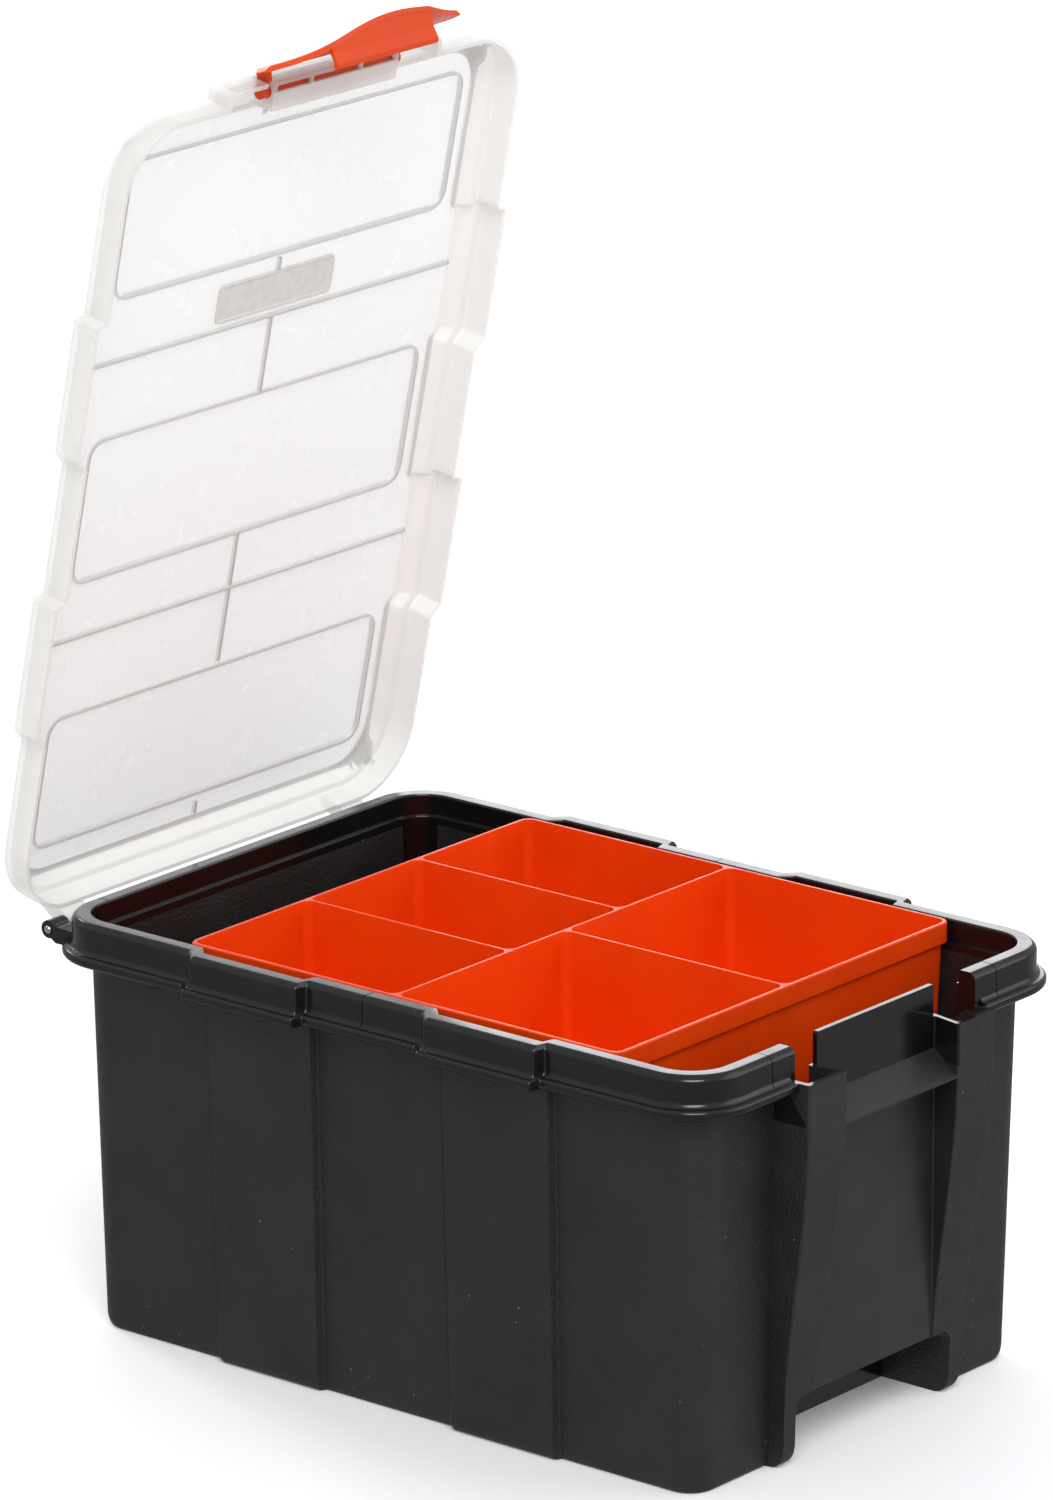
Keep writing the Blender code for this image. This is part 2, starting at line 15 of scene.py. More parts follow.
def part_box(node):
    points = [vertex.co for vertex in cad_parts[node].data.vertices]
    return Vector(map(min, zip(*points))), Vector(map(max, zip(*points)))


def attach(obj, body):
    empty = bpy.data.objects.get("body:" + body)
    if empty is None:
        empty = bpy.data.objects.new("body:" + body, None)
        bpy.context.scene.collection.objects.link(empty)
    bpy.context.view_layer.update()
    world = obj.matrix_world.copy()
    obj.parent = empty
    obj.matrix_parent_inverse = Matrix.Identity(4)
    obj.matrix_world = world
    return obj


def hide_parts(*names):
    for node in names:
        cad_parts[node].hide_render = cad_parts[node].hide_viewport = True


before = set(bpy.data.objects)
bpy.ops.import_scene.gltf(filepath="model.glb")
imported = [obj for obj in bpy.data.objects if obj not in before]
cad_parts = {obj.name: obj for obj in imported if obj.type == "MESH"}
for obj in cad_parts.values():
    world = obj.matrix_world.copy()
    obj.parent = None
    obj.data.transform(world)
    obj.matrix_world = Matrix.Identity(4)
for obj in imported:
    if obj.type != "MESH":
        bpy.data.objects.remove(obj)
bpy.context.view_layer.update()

# Driving dimensions, shared with the CAD part.
HALF_WIDTH = 0.100
HALF_LENGTH = 0.146
CORNER_RADIUS = 0.020
LAND_Z = 0.155
RIB_ZONES = ((-0.0788, -0.0277), (0.0277, 0.0788))
RIM_BUMP = 0.0047
WALL_BUMP = 0.0030
WALL = 0.0020
FLOOR = 0.0024
LEDGE_Z = 0.1470
RIM_GAP_HALF = 0.051
CATCH_PLANE_Y = -0.1435
CATCH_CORNER_X = 0.0336
PILLAR_TOP_Z = 0.1433
PILLAR_REACH = 0.01195
PLATE_HALF = 0.0330
SHELF_BACK_Z = 0.1319
SHELF_FRONT_Z = 0.1243
SHELF_FRONT_Y = -0.1550
RECESS_HALF = 0.0440
RECESS_HEIGHT = 0.0250
RECESS_BACK_Y = 0.1140
HINGE = Vector((0, 0.1563, 0.1449))
LID_ANGLE = math.radians(-78.4)
HINGE_X = 0.077
HINGE_BORE = 0.0018
KNUCKLE_RADIUS = 0.0033
LID_KNUCKLE_HALF = 0.0060
EAR_GAP = 0.0003
EAR_WIDTH = 0.0080
LID_OVERHANG = 0.0066
LID_END_OVERHANG = 0.0049
LID_SKIRT_Z = 0.1469
LID_EDGE_Z = 0.1583
LID_TOP_Z = 0.1615
LID_FIELD_Z = 0.1600
LID_WALL = 0.0017
BULGE_HALF = 0.0570
BULGE_Y = -0.1564
BOSS_HALF = 0.0335
BOSS_BACK_Y = -0.1467
BOSS_LIP_Y = -0.1522
BOSS_WALL = 0.0016
ROD = Vector((0, -0.1515, 0.1510))
LATCH_ANGLE = math.radians(-30)
ROD_RADIUS = 0.0024
COVER_HALF = 0.053
COVER_THICKNESS = 0.0019
TRAY_HALF_X = 0.0942
TRAY_FRONT_Y = -0.1055
TRAY_REAR_Y = 0.0882
TRAY_BAND = 0.0077
TRAY_DEPTH = 0.0450
TRAY_STEP = 0.0015
TRAY_WALL = 0.0012
TRAY_CROSS_Y = -0.0062
LID_RIB_Y = (-0.0567, 0.0497)
WINDOWS = ((-0.1320, -0.0815), (-0.0255, 0.0272), (0.0820, 0.1310))
SPINE = ((-0.0791, -0.0741), (-0.0576, -0.0271), (0.0275, 0.0791), (0.1349, 0.1400))
WINDOW_HALF = 0.0882
LABEL = (0.0312, -0.0740, -0.0593)  # half width, front and rear
WALL_DRAFT = 0.0257  # outward lean of the tub's walls per metre of height
PILLAR_DRAFT = 0.02  # how much a pillar widens on each side per metre of height
FOOT_RADIUS = 0.008
OUT = 0.17  # a reach that clears the box, for cutters
LATCH_INNER_Y = 0.0064  # from the rod's axis to the cover's inner face at its top
LATCH_DEPTH = 0.0300
CAMERA_AZIMUTH, CAMERA_ELEVATION = -50.6911, 17.0604  # degrees
CAMERA_ROLL = -0.0021  # radians
CAMERA_LENS = 232.08  # millimetres on a sensor 36 wide
CAMERA_DISTANCE = 3.40604


# Mesh helpers


def rounded_corners(corners):
    """A closed outline through (x, y, radius, segments) corners, each replaced by an arc."""
    points = []
    for i, (x, y, radius, segments) in enumerate(corners):
        corner = Vector((x, y))
        before = (Vector(corners[i - 1][:2]) - corner).normalized()
        after = (Vector(corners[(i + 1) % len(corners)][:2]) - corner).normalized()
        half = before.angle(after) / 2
        if segments < 1:
            points.append((x, y))
            continue
        centre = corner + (before + after).normalized() * radius / math.sin(half)
        start = corner + before * radius / math.tan(half) - centre
        end = corner + after * radius / math.tan(half) - centre
        turn = start.angle_signed(end)
        for k in range(segments + 1):
            spoke = start.copy()
            spoke.rotate(Matrix.Rotation(-turn * k / segments, 2))
            points.append(tuple(centre + spoke))
    return points


def eased_profile(levels, steps=3):
    """Levels of (cut, *values): each level is replaced by a small curve that starts cut metres before it."""
    rows = []
    for i, (cut, *values) in enumerate(levels):
        here = Vector(values)
        if cut == 0 or i in (0, len(levels) - 1):
            rows.append(here)
            continue
        before = Vector(levels[i - 1][1:]) - here
        after = Vector(levels[i + 1][1:]) - here
        start = here + before * min(0.45, cut / max(before.length, 1e-9))
        end = here + after * min(0.45, cut / max(after.length, 1e-9))
        for k in range(steps + 1):
            t = k / steps
            rows.append(start * (1 - t) ** 2 + here * 2 * t * (1 - t) + end * t * t)
    return rows


def loft(rings):
    """A closed solid through rings of equal point counts, capped at both ends."""
    bm = bmesh.new()
    rows = [[bm.verts.new(point) for point in ring] for ring in rings]
    for lower, upper in zip(rows, rows[1:]):
        for i in range(len(lower)):
            j = (i + 1) % len(lower)
            bm.faces.new((lower[i], lower[j], upper[j], upper[i]))
    bmesh.ops.triangulate(bm, faces=bm.faces)
    bm.faces.new(reversed(rows[0]))
    bm.faces.new(rows[-1])
    bmesh.ops.recalc_face_normals(bm, faces=bm.faces)
    return bm


def slab(plan, low, high):
    return loft([[(x, y, z) for x, y in plan] for z in (low, high)])


def box(low, high):
    (x0, y0, z0), (x1, y1, z1) = low, high
    return slab(((x0, y0), (x1, y0), (x1, y1), (x0, y1)), z0, z1)


def prism_x(profile, x0, x1):
    """A (y, z) outline extruded along X."""
    return loft([[(x, y, z) for y, z in profile] for x in (x0, x1)])


def prism_y(profile, y0, y1):
    """An (x, z) outline extruded along Y."""
    return loft([[(x, y, z) for x, z in profile] for y in (y0, y1)])


def circle(cy, cz, radius, start=0.0, sweep=2 * math.pi, count=32):
    steps = count if sweep >= 2 * math.pi else count - 1
    return [
        (cy + radius * math.cos(start + sweep * i / steps), cz + radius * math.sin(start + sweep * i / steps))
        for i in range(count)
    ]


def rectangle(x0, y0, x1, y1, radius, segments=6):
    return rounded_corners([(x, y, radius, segments) for x, y in ((x0, y0), (x1, y0), (x1, y1), (x0, y1))])


def add_piece(name, bm, *materials):
    mesh = bpy.data.meshes.new(name)
    bmesh.ops.recalc_face_normals(bm, faces=bm.faces)
    bm.to_mesh(mesh)
    bm.free()
    obj = bpy.data.objects.new(name, mesh)
    for mat in materials:
        mesh.materials.append(mat)
    bpy.context.scene.collection.objects.link(obj)
    return obj


def bake_modifiers(obj):
    """Replaces the object's mesh by its evaluated mesh."""
    graph = bpy.context.evaluated_depsgraph_get()
    mesh = bpy.data.meshes.new_from_object(obj.evaluated_get(graph))
    old = obj.data
    obj.modifiers.clear()
    obj.data = mesh
    bpy.data.meshes.remove(old)


def carve(obj, cuts):
    """Applies (operation, bmesh) Booleans in order; U joins and D cuts."""
    for operation, bm in cuts:
        cutter = add_piece("cutter", bm)
        modifier = obj.modifiers.new("carve", "BOOLEAN")
        modifier.operation = {"U": "UNION", "D": "DIFFERENCE"}[operation]
        modifier.solver = "EXACT"
        modifier.object = cutter
        bake_modifiers(obj)
        bpy.data.objects.remove(cutter)
    return obj


def shade(obj, angle=32, weighted=True):
    obj.data.shade_smooth()
    obj.data.set_sharp_from_angle(angle=math.radians(angle))
    if weighted:
        modifier = obj.modifiers.new("weighted", "WEIGHTED_NORMAL")
        modifier.keep_sharp = True
        modifier.weight = 80
        bake_modifiers(obj)


def paint_faces(obj, choose):
    """Gives each face the material index that choose(centre, normal) returns."""
    for face in obj.data.polygons:
        face.material_index = choose(face.center, face.normal)


def stepped_outline(offset, bump, end_offset=None, corner_segments=12):
    """The box's plan outline, offset outwards from the rim's land, with two ribs on each long side."""
    half_x = HALF_WIDTH + offset
    half_y = HALF_LENGTH + (offset if end_offset is None else end_offset)
    grow = 0.2 * offset
    radius = CORNER_RADIUS + offset
    side = []
    for front, rear in RIB_ZONES:
        side += [
            (half_x, front - grow - 0.0006, 0.0009, 3),
            (half_x + bump, front - grow + 0.0006, 0.0009, 3),
            (half_x + bump, rear + grow - bump / 2, 0.0016, 3),
            (half_x, rear + grow + bump / 2, 0.0016, 3),
        ]
    left = [(-x, y, r, n) for x, y, r, n in reversed(side)]
    corners = [
        (half_x, -half_y, radius, corner_segments),
        *side,
        (half_x, half_y, radius, corner_segments),
        (-half_x, half_y, radius, corner_segments),
        *left,
        (-half_x, -half_y, radius, corner_segments),
    ]
    return rounded_corners(corners)


def stepped_loft(levels, steps=3):
    """Lofts the plan outline through (cut, z, offset, rib depth, end offset) levels with eased edges."""
    return loft([
        [(x, y, z) for x, y in stepped_outline(offset, bump, end)]
        for z, offset, bump, end in eased_profile(levels, steps)
    ])


def level(z, offset, bump, cut=0.0, end=None):
    return (cut, z, offset, bump, offset if end is None else end)


# Tub


def tub_shell():
    """The tub in one loft: up the outside, round the hollow rim, and down the inside to the floor."""
    return stepped_loft([
        level(0.0, -0.0128, 0.0018),
        level(0.0, -0.0105, 0.0024, 0.0016),
        level(0.0030, -0.0089, WALL_BUMP, 0.0024),
        level(0.1445, -0.0052, WALL_BUMP, 0.0006),
        level(0.1460, -0.0033, 0.0044, 0.0004),
        level(0.1528, -0.0033, 0.0044),
        level(0.1528, 0.0, RIM_BUMP),
        level(0.1420, 0.0, RIM_BUMP),
        level(0.1400, 0.0014, RIM_BUMP, 0.0005),
        level(0.1398, 0.0044, RIM_BUMP, 0.0004),
        level(0.1408, 0.0053, RIM_BUMP, 0.0006),
        level(0.1428, 0.0053, RIM_BUMP, 0.0006),
        level(0.1436, 0.0044, RIM_BUMP, 0.0004),
        level(0.1438, 0.0030, RIM_BUMP, 0.0007),
        level(0.1452, 0.0018, RIM_BUMP, 0.0012),
        level(0.1532, 0.0018, RIM_BUMP, 0.0009),
        level(LAND_Z, 0.0, RIM_BUMP, 0.0009),
        level(LAND_Z, -0.0053, RIM_BUMP, 0.0010),
        level(LEDGE_Z, -0.0055, RIM_BUMP, 0.0003),
        level(LEDGE_Z, -0.0069, WALL_BUMP, 0.0004),
        level(0.1440, -0.0071, WALL_BUMP),
        level(0.0060, -0.0108, WALL_BUMP, 0.0025),
        level(FLOOR, -0.0130, 0.0020, 0.0020),
        level(FLOOR, -0.0160, 0.0018),
    ])


def wall_middle(z):
    """The middle of the front wall's thickness, which steps in round the floor's fillet."""
    return -0.1325 if z < 0.0025 else -0.1357 - WALL_DRAFT * z


def smoothstep(t):
    t = min(max(t, 0.0), 1.0)
    return t * t * (3 - 2 * t)


def pillar_front(z):
    """How far forward a pillar stands at z: an S curve that ends in a rounded foot."""
    reach = PILLAR_REACH * smoothstep((z - 0.007) / 0.122)
    under = FOOT_RADIUS - math.sqrt(max(FOOT_RADIUS**2 - max(FOOT_RADIUS - z, 0) ** 2, 0))
    return CATCH_PLANE_Y - reach + 0.8 * under


def catch_block(inset, levels, back_y=None):
    """The two pillars and the panel between them; inset makes the matching hollow."""
    rings = []
    for z in levels:
        widen = PILLAR_DRAFT * min(z, 0.135)
        outer = 0.0502 + widen
        inner = 0.0340 - widen
        back = wall_middle(z) if back_y is None else back_y
        front = pillar_front(z) + inset
        panel = CATCH_PLANE_Y + inset
        depth = max(panel - front, 0.0001)
        radius = min(0.0009, depth * 0.45)
        half = [
            (CATCH_CORNER_X + inset, panel, radius * 0.7, 3),
            (inner + inset, front, radius, 3),
            (outer - inset, front, radius, 3),
            (outer - inset + 0.0004, back, 0, 0),
        ]
        plan = [(-x, y, r, n) for x, y, r, n in reversed(half)] + half
        rings.append([(x, y, z) for x, y in rounded_corners(plan)])
    return loft(rings)


def foot_recess(sign, inset, low_z, mouth_y):
    """The finger recess under one end; inset is the wall left round it."""
    half, top = RECESS_HALF + inset, RECESS_HEIGHT + inset
    corners = [(-half, low_z, 0, 0), (half, low_z, 0, 0), (half, top, 0.0045, 6), (-half, top, 0.0045, 6)]
    near, far = sorted((sign * (RECESS_BACK_Y - inset), sign * mouth_y))
    return prism_y(rounded_corners(corners), near, far)


def hinge_ear(x0, x1):
    """A tub ear: a flat arm under the rim's lip and a barrel round the hinge axis."""
    barrel = circle(HINGE.y, HINGE.z, KNUCKLE_RADIUS, math.radians(-110), math.radians(260), 22)
    return prism_x([(0.1450, 0.1462), (0.1450, 0.1404), (0.1530, 0.1404)] + barrel, x0, x1)


def catch_shelf():
    """The sloping shelf between the pillars, which the latch's tooth catches under."""
    back_y = CATCH_PLANE_Y + 0.0010
    ends = (
        (SHELF_FRONT_Y, 0.0326, SHELF_FRONT_Z - 0.0008, SHELF_FRONT_Z),
        (back_y, 0.0346, SHELF_BACK_Z - 0.0016, SHELF_BACK_Z + 0.0006),
    )
    return loft([[(-x, y, low), (x, y, low), (x, y, high), (-x, y, high)] for y, x, low, high in ends])


def rim_groove(axis, sign, at):
    """A hairline across the rim's face, chamfer and land, left where two mould parts meet."""
    edge = HALF_WIDTH if axis == "x" else HALF_LENGTH
    depth = 0.00025
    skin = [
        (edge + 0.0045, 0.1440),
        (edge + 0.0045, 0.1570),
        (edge - 0.0065, 0.1570),
        (edge - 0.0065, LAND_Z - depth),
        (edge - depth, LAND_Z - depth),
        (edge + 0.0018 - depth, 0.1530),
        (edge + 0.0018 - depth, 0.1440),
    ]
    profile = [(sign * across, z) for across, z in skin]
    width = 0.0002
    if axis == "y":
        return prism_x(profile, at - width, at + width)
    return prism_y(profile, at - width, at + width)


def tub_finish(centre, normal):
    """Grain on the outer walls and pillars, satin on the panel and shelf, gloss on the rim and inside; inside
    the tub the gloss black's darker base is painted shade.
    """
    x, y, z = centre
    if y < CATCH_PLANE_Y + 0.0024 and abs(x) < CATCH_CORNER_X + 0.0004:
        return 1 if z < SHELF_BACK_Z + 0.001 else 2
    if y < CATCH_PLANE_Y + 0.0002 and abs(x) < 0.0545 and z < PILLAR_TOP_Z - 0.0001:
        return 0 if abs(normal.z) < 0.8 else 1
    if z > 0.1385:
        return 2
    if y < -0.130 and abs(x) > CATCH_CORNER_X and normal.y < 0.2:
        return 0
    outside = abs(x) > 0.0885 + WALL_DRAFT * z or abs(y) > 0.1345 + WALL_DRAFT * z
    # Inside faces take the gloss black, whose darker base is painted shade in the hollow.
    return 0 if outside else 2


def build_tub(grained, satin, gloss_and_shade):
    tub = add_piece("tub_shell", tub_shell(), grained, satin, gloss_and_shade)
    low = [0.0, 0.0006, 0.0012, 0.0022, 0.0035, 0.0050, 0.0080]
    levels = low + [0.016 + 0.008 * i for i in range(15)] + [0.150]
    cuts = [
        ("D", box((-0.045, -OUT, 0.1385), (0.045, CATCH_PLANE_Y + 0.0010, OUT))),
        ("U", catch_block(0, levels)),
    ]
    cuts += [("U", foot_recess(sign, WALL, 0.001, 0.1372)) for sign in (-1, 1)]
    hollow = [RECESS_HEIGHT + 0.0045] + [z for z in levels if z > 0.032] + [OUT]
    cuts.append(("D", catch_block(WALL, hollow, -0.1300)))
    cuts += [("D", foot_recess(sign, 0, -0.01, OUT)) for sign in (-1, 1)]
    for half, rear_y in ((RIM_GAP_HALF, -0.13), (0.0540, -HALF_LENGTH - 0.0019)):
        cuts.append(("D", box((-half, -OUT, PILLAR_TOP_Z), (half, rear_y, OUT))))
    for sign in (-1, 1):
        near, far = sorted((sign * (RIM_GAP_HALF - 0.0001), sign * (RIM_GAP_HALF + 0.0018)))
        cuts.append(("U", box((near, -0.1473, 0.1412), (far, -0.1416, 0.1532))))
    plate = rounded_corners([
        (-PLATE_HALF, 0.1380, 0, 0),
        (PLATE_HALF, 0.1380, 0, 0),
        (PLATE_HALF, LAND_Z, 0.0008, 3),
        (-PLATE_HALF, LAND_Z, 0.0008, 3),
    ])
    cuts.append(("U", prism_y(plate, CATCH_PLANE_Y + 0.0001, CATCH_PLANE_Y + WALL - 0.0001)))
    cuts.append(("U", catch_shelf()))
    inner = LID_KNUCKLE_HALF + EAR_GAP
    for sign in (-1, 1):
        centre = sign * HINGE_X
        for edge in (-inner - EAR_WIDTH, inner):
            cuts.append(("U", hinge_ear(centre + edge, centre + edge + EAR_WIDTH)))
        reach = inner + EAR_WIDTH + 0.002
        cuts.append(("D", prism_x(circle(HINGE.y, HINGE.z, HINGE_BORE), centre - reach, centre + reach)))
        cuts.append(("D", rim_groove("x", sign, 0.0015)))
        cuts.append(("D", rim_groove("y", -1, sign * 0.0634)))
        cuts.append(("D", rim_groove("y", 1, sign * 0.0760)))
    carve(tub, cuts)
    paint_faces(tub, tub_finish)
    shade(tub)
    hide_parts("body_tub")
    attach(tub, "tub")


def build_pins(steel):
    for side in ("left", "right"):
        node = f"hinge_pin_{side}"
        low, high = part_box(node)
        centre = (low + high) / 2
        radius = (high.z - low.z) / 2
        stations = [(low.x, 0.75), (low.x + 0.0004, 1), (high.x - 0.0004, 1), (high.x, 0.75)]
        rings = [[(x, y, z) for y, z in circle(centre.y, centre.z, radius * share)] for x, share in stations]
        pin = add_piece(f"pin_{side}", loft(rings), steel)
        shade(pin)
        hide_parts(node)
        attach(pin, "tub")


# Lid, modelled closed


def open_lid(obj, body="lid", on_lid=None):
    """Turns a piece modelled on the closed lid to its open rest place."""
    turn = Matrix.Translation(HINGE) @ Matrix.Rotation(LID_ANGLE, 4, "X") @ Matrix.Translation(-HINGE)
    obj.data.transform(turn @ on_lid if on_lid else turn)
    obj.data.update()
    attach(obj, body)


def lid_outside():
    end = LID_END_OVERHANG
    return stepped_loft([
        level(LID_SKIRT_Z, LID_OVERHANG - 0.0004, RIM_BUMP, end=end - 0.0004),
        level(LID_SKIRT_Z, LID_OVERHANG, RIM_BUMP, 0.0004, end),
        level(LID_EDGE_Z, LID_OVERHANG, RIM_BUMP, 0.0022, end),
        level(LID_EDGE_Z, 0.0012, RIM_BUMP, 0.0010),
        level(LID_TOP_Z, -0.0016, 0.0040, 0.0012),
        level(LID_TOP_Z, -0.0040, 0.0036),
    ])


def lid_hollow():
    side, end = LID_OVERHANG - LID_WALL, LID_END_OVERHANG - LID_WALL
    return stepped_loft([
        level(LID_SKIRT_Z - 0.01, side, RIM_BUMP, end=end),
        level(LID_EDGE_Z - LID_WALL, side, RIM_BUMP, 0.0014, end),
        level(LID_EDGE_Z - LID_WALL, 0.0006, RIM_BUMP, 0.0010),
        level(LID_FIELD_Z, -0.0026, 0.0040, 0.0012),
        level(LID_FIELD_Z, -0.0050, 0.0036),
    ])


def window_plan(y0, y1, grow, radius):
    return rectangle(-WINDOW_HALF - grow, y0 - grow, WINDOW_HALF + grow, y1 + grow, radius)


def window_recess(y0, y1):
    """A shallow sunk panel in the lid's inner face."""
    levels = ((LID_FIELD_Z - 0.004, 0.0004), (LID_FIELD_Z, 0.0004), (LID_FIELD_Z + 0.0005, -0.0002))
    return loft([[(x, y, z) for x, y in window_plan(y0, y1, grow, 0.0060)] for z, grow in levels])


def window_frame(y0, y1):
    """The low bead round a window."""
    return slab(window_plan(y0, y1, 0.0016, 0.0074), LID_FIELD_Z - 0.0006, LID_FIELD_Z + 0.0006)


def rib(x0, x1, y0, y1, height):
    """A low rib with a narrower crest, standing down from the lid's inner face."""
    root, crest = LID_FIELD_Z + 0.0004, LID_FIELD_Z - height
    draft = 0.0003
    levels = (
        (crest, (x0 + draft, y0 + draft, x1 - draft, y1 - draft)),
        (root, (x0, y0, x1, y1)),
    )
    return loft([[(a, b, z), (c, b, z), (c, d, z), (a, d, z)] for z, (a, b, c, d) in levels])


def bulge(inset):
    """The forward swelling of the skirt that houses the latch's rod."""
    half, front = BULGE_HALF - inset, BULGE_Y + inset
    top = LID_EDGE_Z - inset
    low = LID_SKIRT_Z - (0.01 if inset else 0)
    rings = []
    for z, shrink in ((low, 0.0), (top - 0.0020, 0.0), (top - 0.0006, 0.0006), (top, 0.0020)):
        plan = rounded_corners([
            (-half + shrink, -0.1440, 0, 0),
            (-half + shrink, front + shrink, 0.0024, 5),
            (half - shrink, front + shrink, 0.0024, 5),
            (half - shrink, -0.1440, 0, 0),
        ])
        rings.append([(x, y, z) for x, y in plan])
    return loft(rings)


def lid_boss():
    """The pocket that holds the latch's rod."""
    floor_z, plate_z, end = 0.1470, LID_EDGE_Z - 0.0008, BULGE_Y + 0.0008
    pieces = [
        box((-BOSS_HALF, BOSS_BACK_Y, floor_z), (BOSS_HALF, BOSS_BACK_Y + BOSS_WALL, plate_z + 0.0009)),
        box((-BOSS_HALF, BOSS_LIP_Y, floor_z), (BOSS_HALF, BOSS_BACK_Y + 0.0005, floor_z + 0.0011)),
    ]
    for sign in (-1, 1):
        near, far = sorted((sign * (BOSS_HALF - BOSS_WALL), sign * BOSS_HALF))
        pieces.append(box((near, end, floor_z), (far, BOSS_BACK_Y + 0.0008, plate_z)))
        bar = sign * 0.0133
        far_corner = (bar + 0.0007, BOSS_LIP_Y + 0.0006, floor_z + 0.0011)
        pieces.append(box((bar - 0.0007, end, floor_z), far_corner))
    for x in (-0.021, 0.0, 0.021):
        gusset = [(-0.1455, 0.1556), (-0.1455, 0.1590), (-0.1430, 0.1605), (-0.1360, 0.1605)]
        pieces.append(prism_x(gusset, x - 0.0007, x + 0.0007))
    return pieces


def lid_knuckle(centre):
    barrel = circle(HINGE.y, HINGE.z, KNUCKLE_RADIUS, math.radians(-160), math.radians(230), 20)
    arm = [(0.1535, 0.1572), (0.1497, 0.1572), (0.1497, 0.1500)]
    return prism_x(arm + barrel, centre - LID_KNUCKLE_HALF, centre + LID_KNUCKLE_HALF)


def lid_finish(centre, _normal):
    """Polished windows and rod pocket; a fine frost on the plate; on the border and skirt a frost whose paler
    base is painted light for faces turned from the key lamp.
    """
    x, y, z = centre
    if y < -0.1530 and abs(x) < BOSS_HALF:
        return 1
    if abs(x) < 0.0876 and z > LID_FIELD_Z - 0.0002:
        for y0, y1 in WINDOWS:
            if y0 + 0.0004 < y < y1 - 0.0004:
                return 1
    inside = abs(x) < HALF_WIDTH - 0.0030 and abs(y) < HALF_LENGTH - 0.0030
    # Material 2 has a paler base: painted light on the skirt and border.
    return 0 if inside and z > LID_EDGE_Z - 0.0030 else 2


def build_lid(frosted, clear, border):
    lid = add_piece("lid_shell", lid_outside(), frosted, clear, border)
    cuts = [("U", bulge(0.0)), ("D", lid_hollow()), ("D", bulge(LID_WALL))]
    cuts += [("U", piece) for piece in lid_boss()]
    half_width = HALF_WIDTH - 0.0020
    for y in LID_RIB_Y:
        cuts.append(("U", rib(-half_width, half_width, y - 0.0008, y + 0.0008, 0.0013)))
    for y0, y1 in SPINE:
        cuts.append(("U", rib(-0.0008, 0.0008, y0, y1, 0.0012)))
    for y0, y1 in WINDOWS:
        cuts.append(("U", window_frame(y0, y1)))
        cuts.append(("D", window_recess(y0, y1)))
    cuts.append(("D", prism_x(circle(ROD.y, ROD.z, ROD_RADIUS + 0.0004), -0.036, 0.036)))
    for sign in (-1, 1):
        near, far = sorted((sign * (BOSS_HALF + 0.0001), sign * 0.0373))
        cuts.append(("D", box((near, -0.16, LID_SKIRT_Z - 0.01), (far, -0.1540, ROD.z + 0.0034))))
        cuts.append(("U", lid_knuckle(sign * HINGE_X)))
        bore = prism_x(circle(HINGE.y, HINGE.z, HINGE_BORE), sign * HINGE_X - 0.01, sign * HINGE_X + 0.01)
        cuts.append(("D", bore))
    carve(lid, cuts)
    paint_faces(lid, lid_finish)
    shade(lid)
    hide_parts("lid")
    open_lid(lid)


def build_label(grey):
    """A blank rounded plate with a slightly raised border."""
    half, y0, y1 = LABEL
    top = LID_FIELD_Z - 0.0003
    rings = []
    for inset, drop in ((0.0, 0.0), (0.0, 0.0005), (0.0006, 0.0007), (0.0012, 0.0004), (0.0016, 0.0004)):
        plan = rectangle(-half + inset, y0 + inset, half - inset, y1 - inset, 0.0022 - inset * 0.8)
        rings.append([(x, y, top - drop) for x, y in plan])
    label = add_piece("label_blank", loft(rings), grey)
    shade(label, 40)
    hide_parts("label_plate")
    open_lid(label)


# Latch, modelled closed round its rod at the origin


def latch_lip(x):
    """How far forward the cover's lower edge reaches at x; the latch sits a little askew."""
    swell = 0.5 + 0.5 * math.cos(math.pi * min(abs(x - 0.005) / 0.050, 1))
    return 0.0102 + 0.0054 * swell + 0.038 * x


def latch_cover_point(x, t):
    """The (forward, depth) of the cover's inner face at x, at the share t of the way down."""
    wing = max(abs(x) - 0.027, 0) / 0.026
    top = 0.0030 + 0.0130 * smoothstep((abs(x) - 0.036) / 0.0185)
    bottom = LATCH_DEPTH - 0.0098 * wing**1.1
    depth = top + (bottom - top) * t
    inner_lip = latch_lip(x) - COVER_THICKNESS
    return LATCH_INNER_Y + (inner_lip - LATCH_INNER_Y) * (depth / LATCH_DEPTH) ** 1.9, depth


def latch_cover():
    """The cover as a curved plate with a rounded rim, lofted across its width."""
    stations, steps = 44, 14
    rings = []
    for i in range(stations + 1):
        x = COVER_HALF * (2 * i / stations - 1)
        thickness = COVER_THICKNESS * (0.4 if i in (0, stations) else 1.0)
        inner = [latch_cover_point(x, k / steps) for k in range(steps + 1)]
        outer = [(f + thickness, d - 0.0004 * k / steps) for k, (f, d) in enumerate(inner)]
        rings.append([(x, -f, -d) for f, d in outer + inner[::-1]])
    return loft(rings)


def latch_tab():
    """The J-shaped lower edge: a face that runs in from the cover to the tooth under the shelf."""
    rings = []
    for i in range(25):
        x = 0.0272 * (i / 12 - 1)
        forward = latch_cover_point(x, 0.97)[0] + 0.0005
        outline = rounded_corners([
            (-0.0016, -0.0279, 0.0004, 3),
            (-0.0011, -0.0296, 0.0007, 4),
            (-0.0030, -0.0303, 0.0009, 4),
            (-0.0070, -0.0295, 0.0010, 4),
            (-forward, -0.0298, 0, 0),
            (-forward, -0.0281, 0, 0),
            (-0.0070, -0.0281, 0.0010, 4),
            (-0.0042, -0.0288, 0.0006, 4),
        ])
        rings.append([(x, y, z) for y, z in outline])
    return loft(rings)


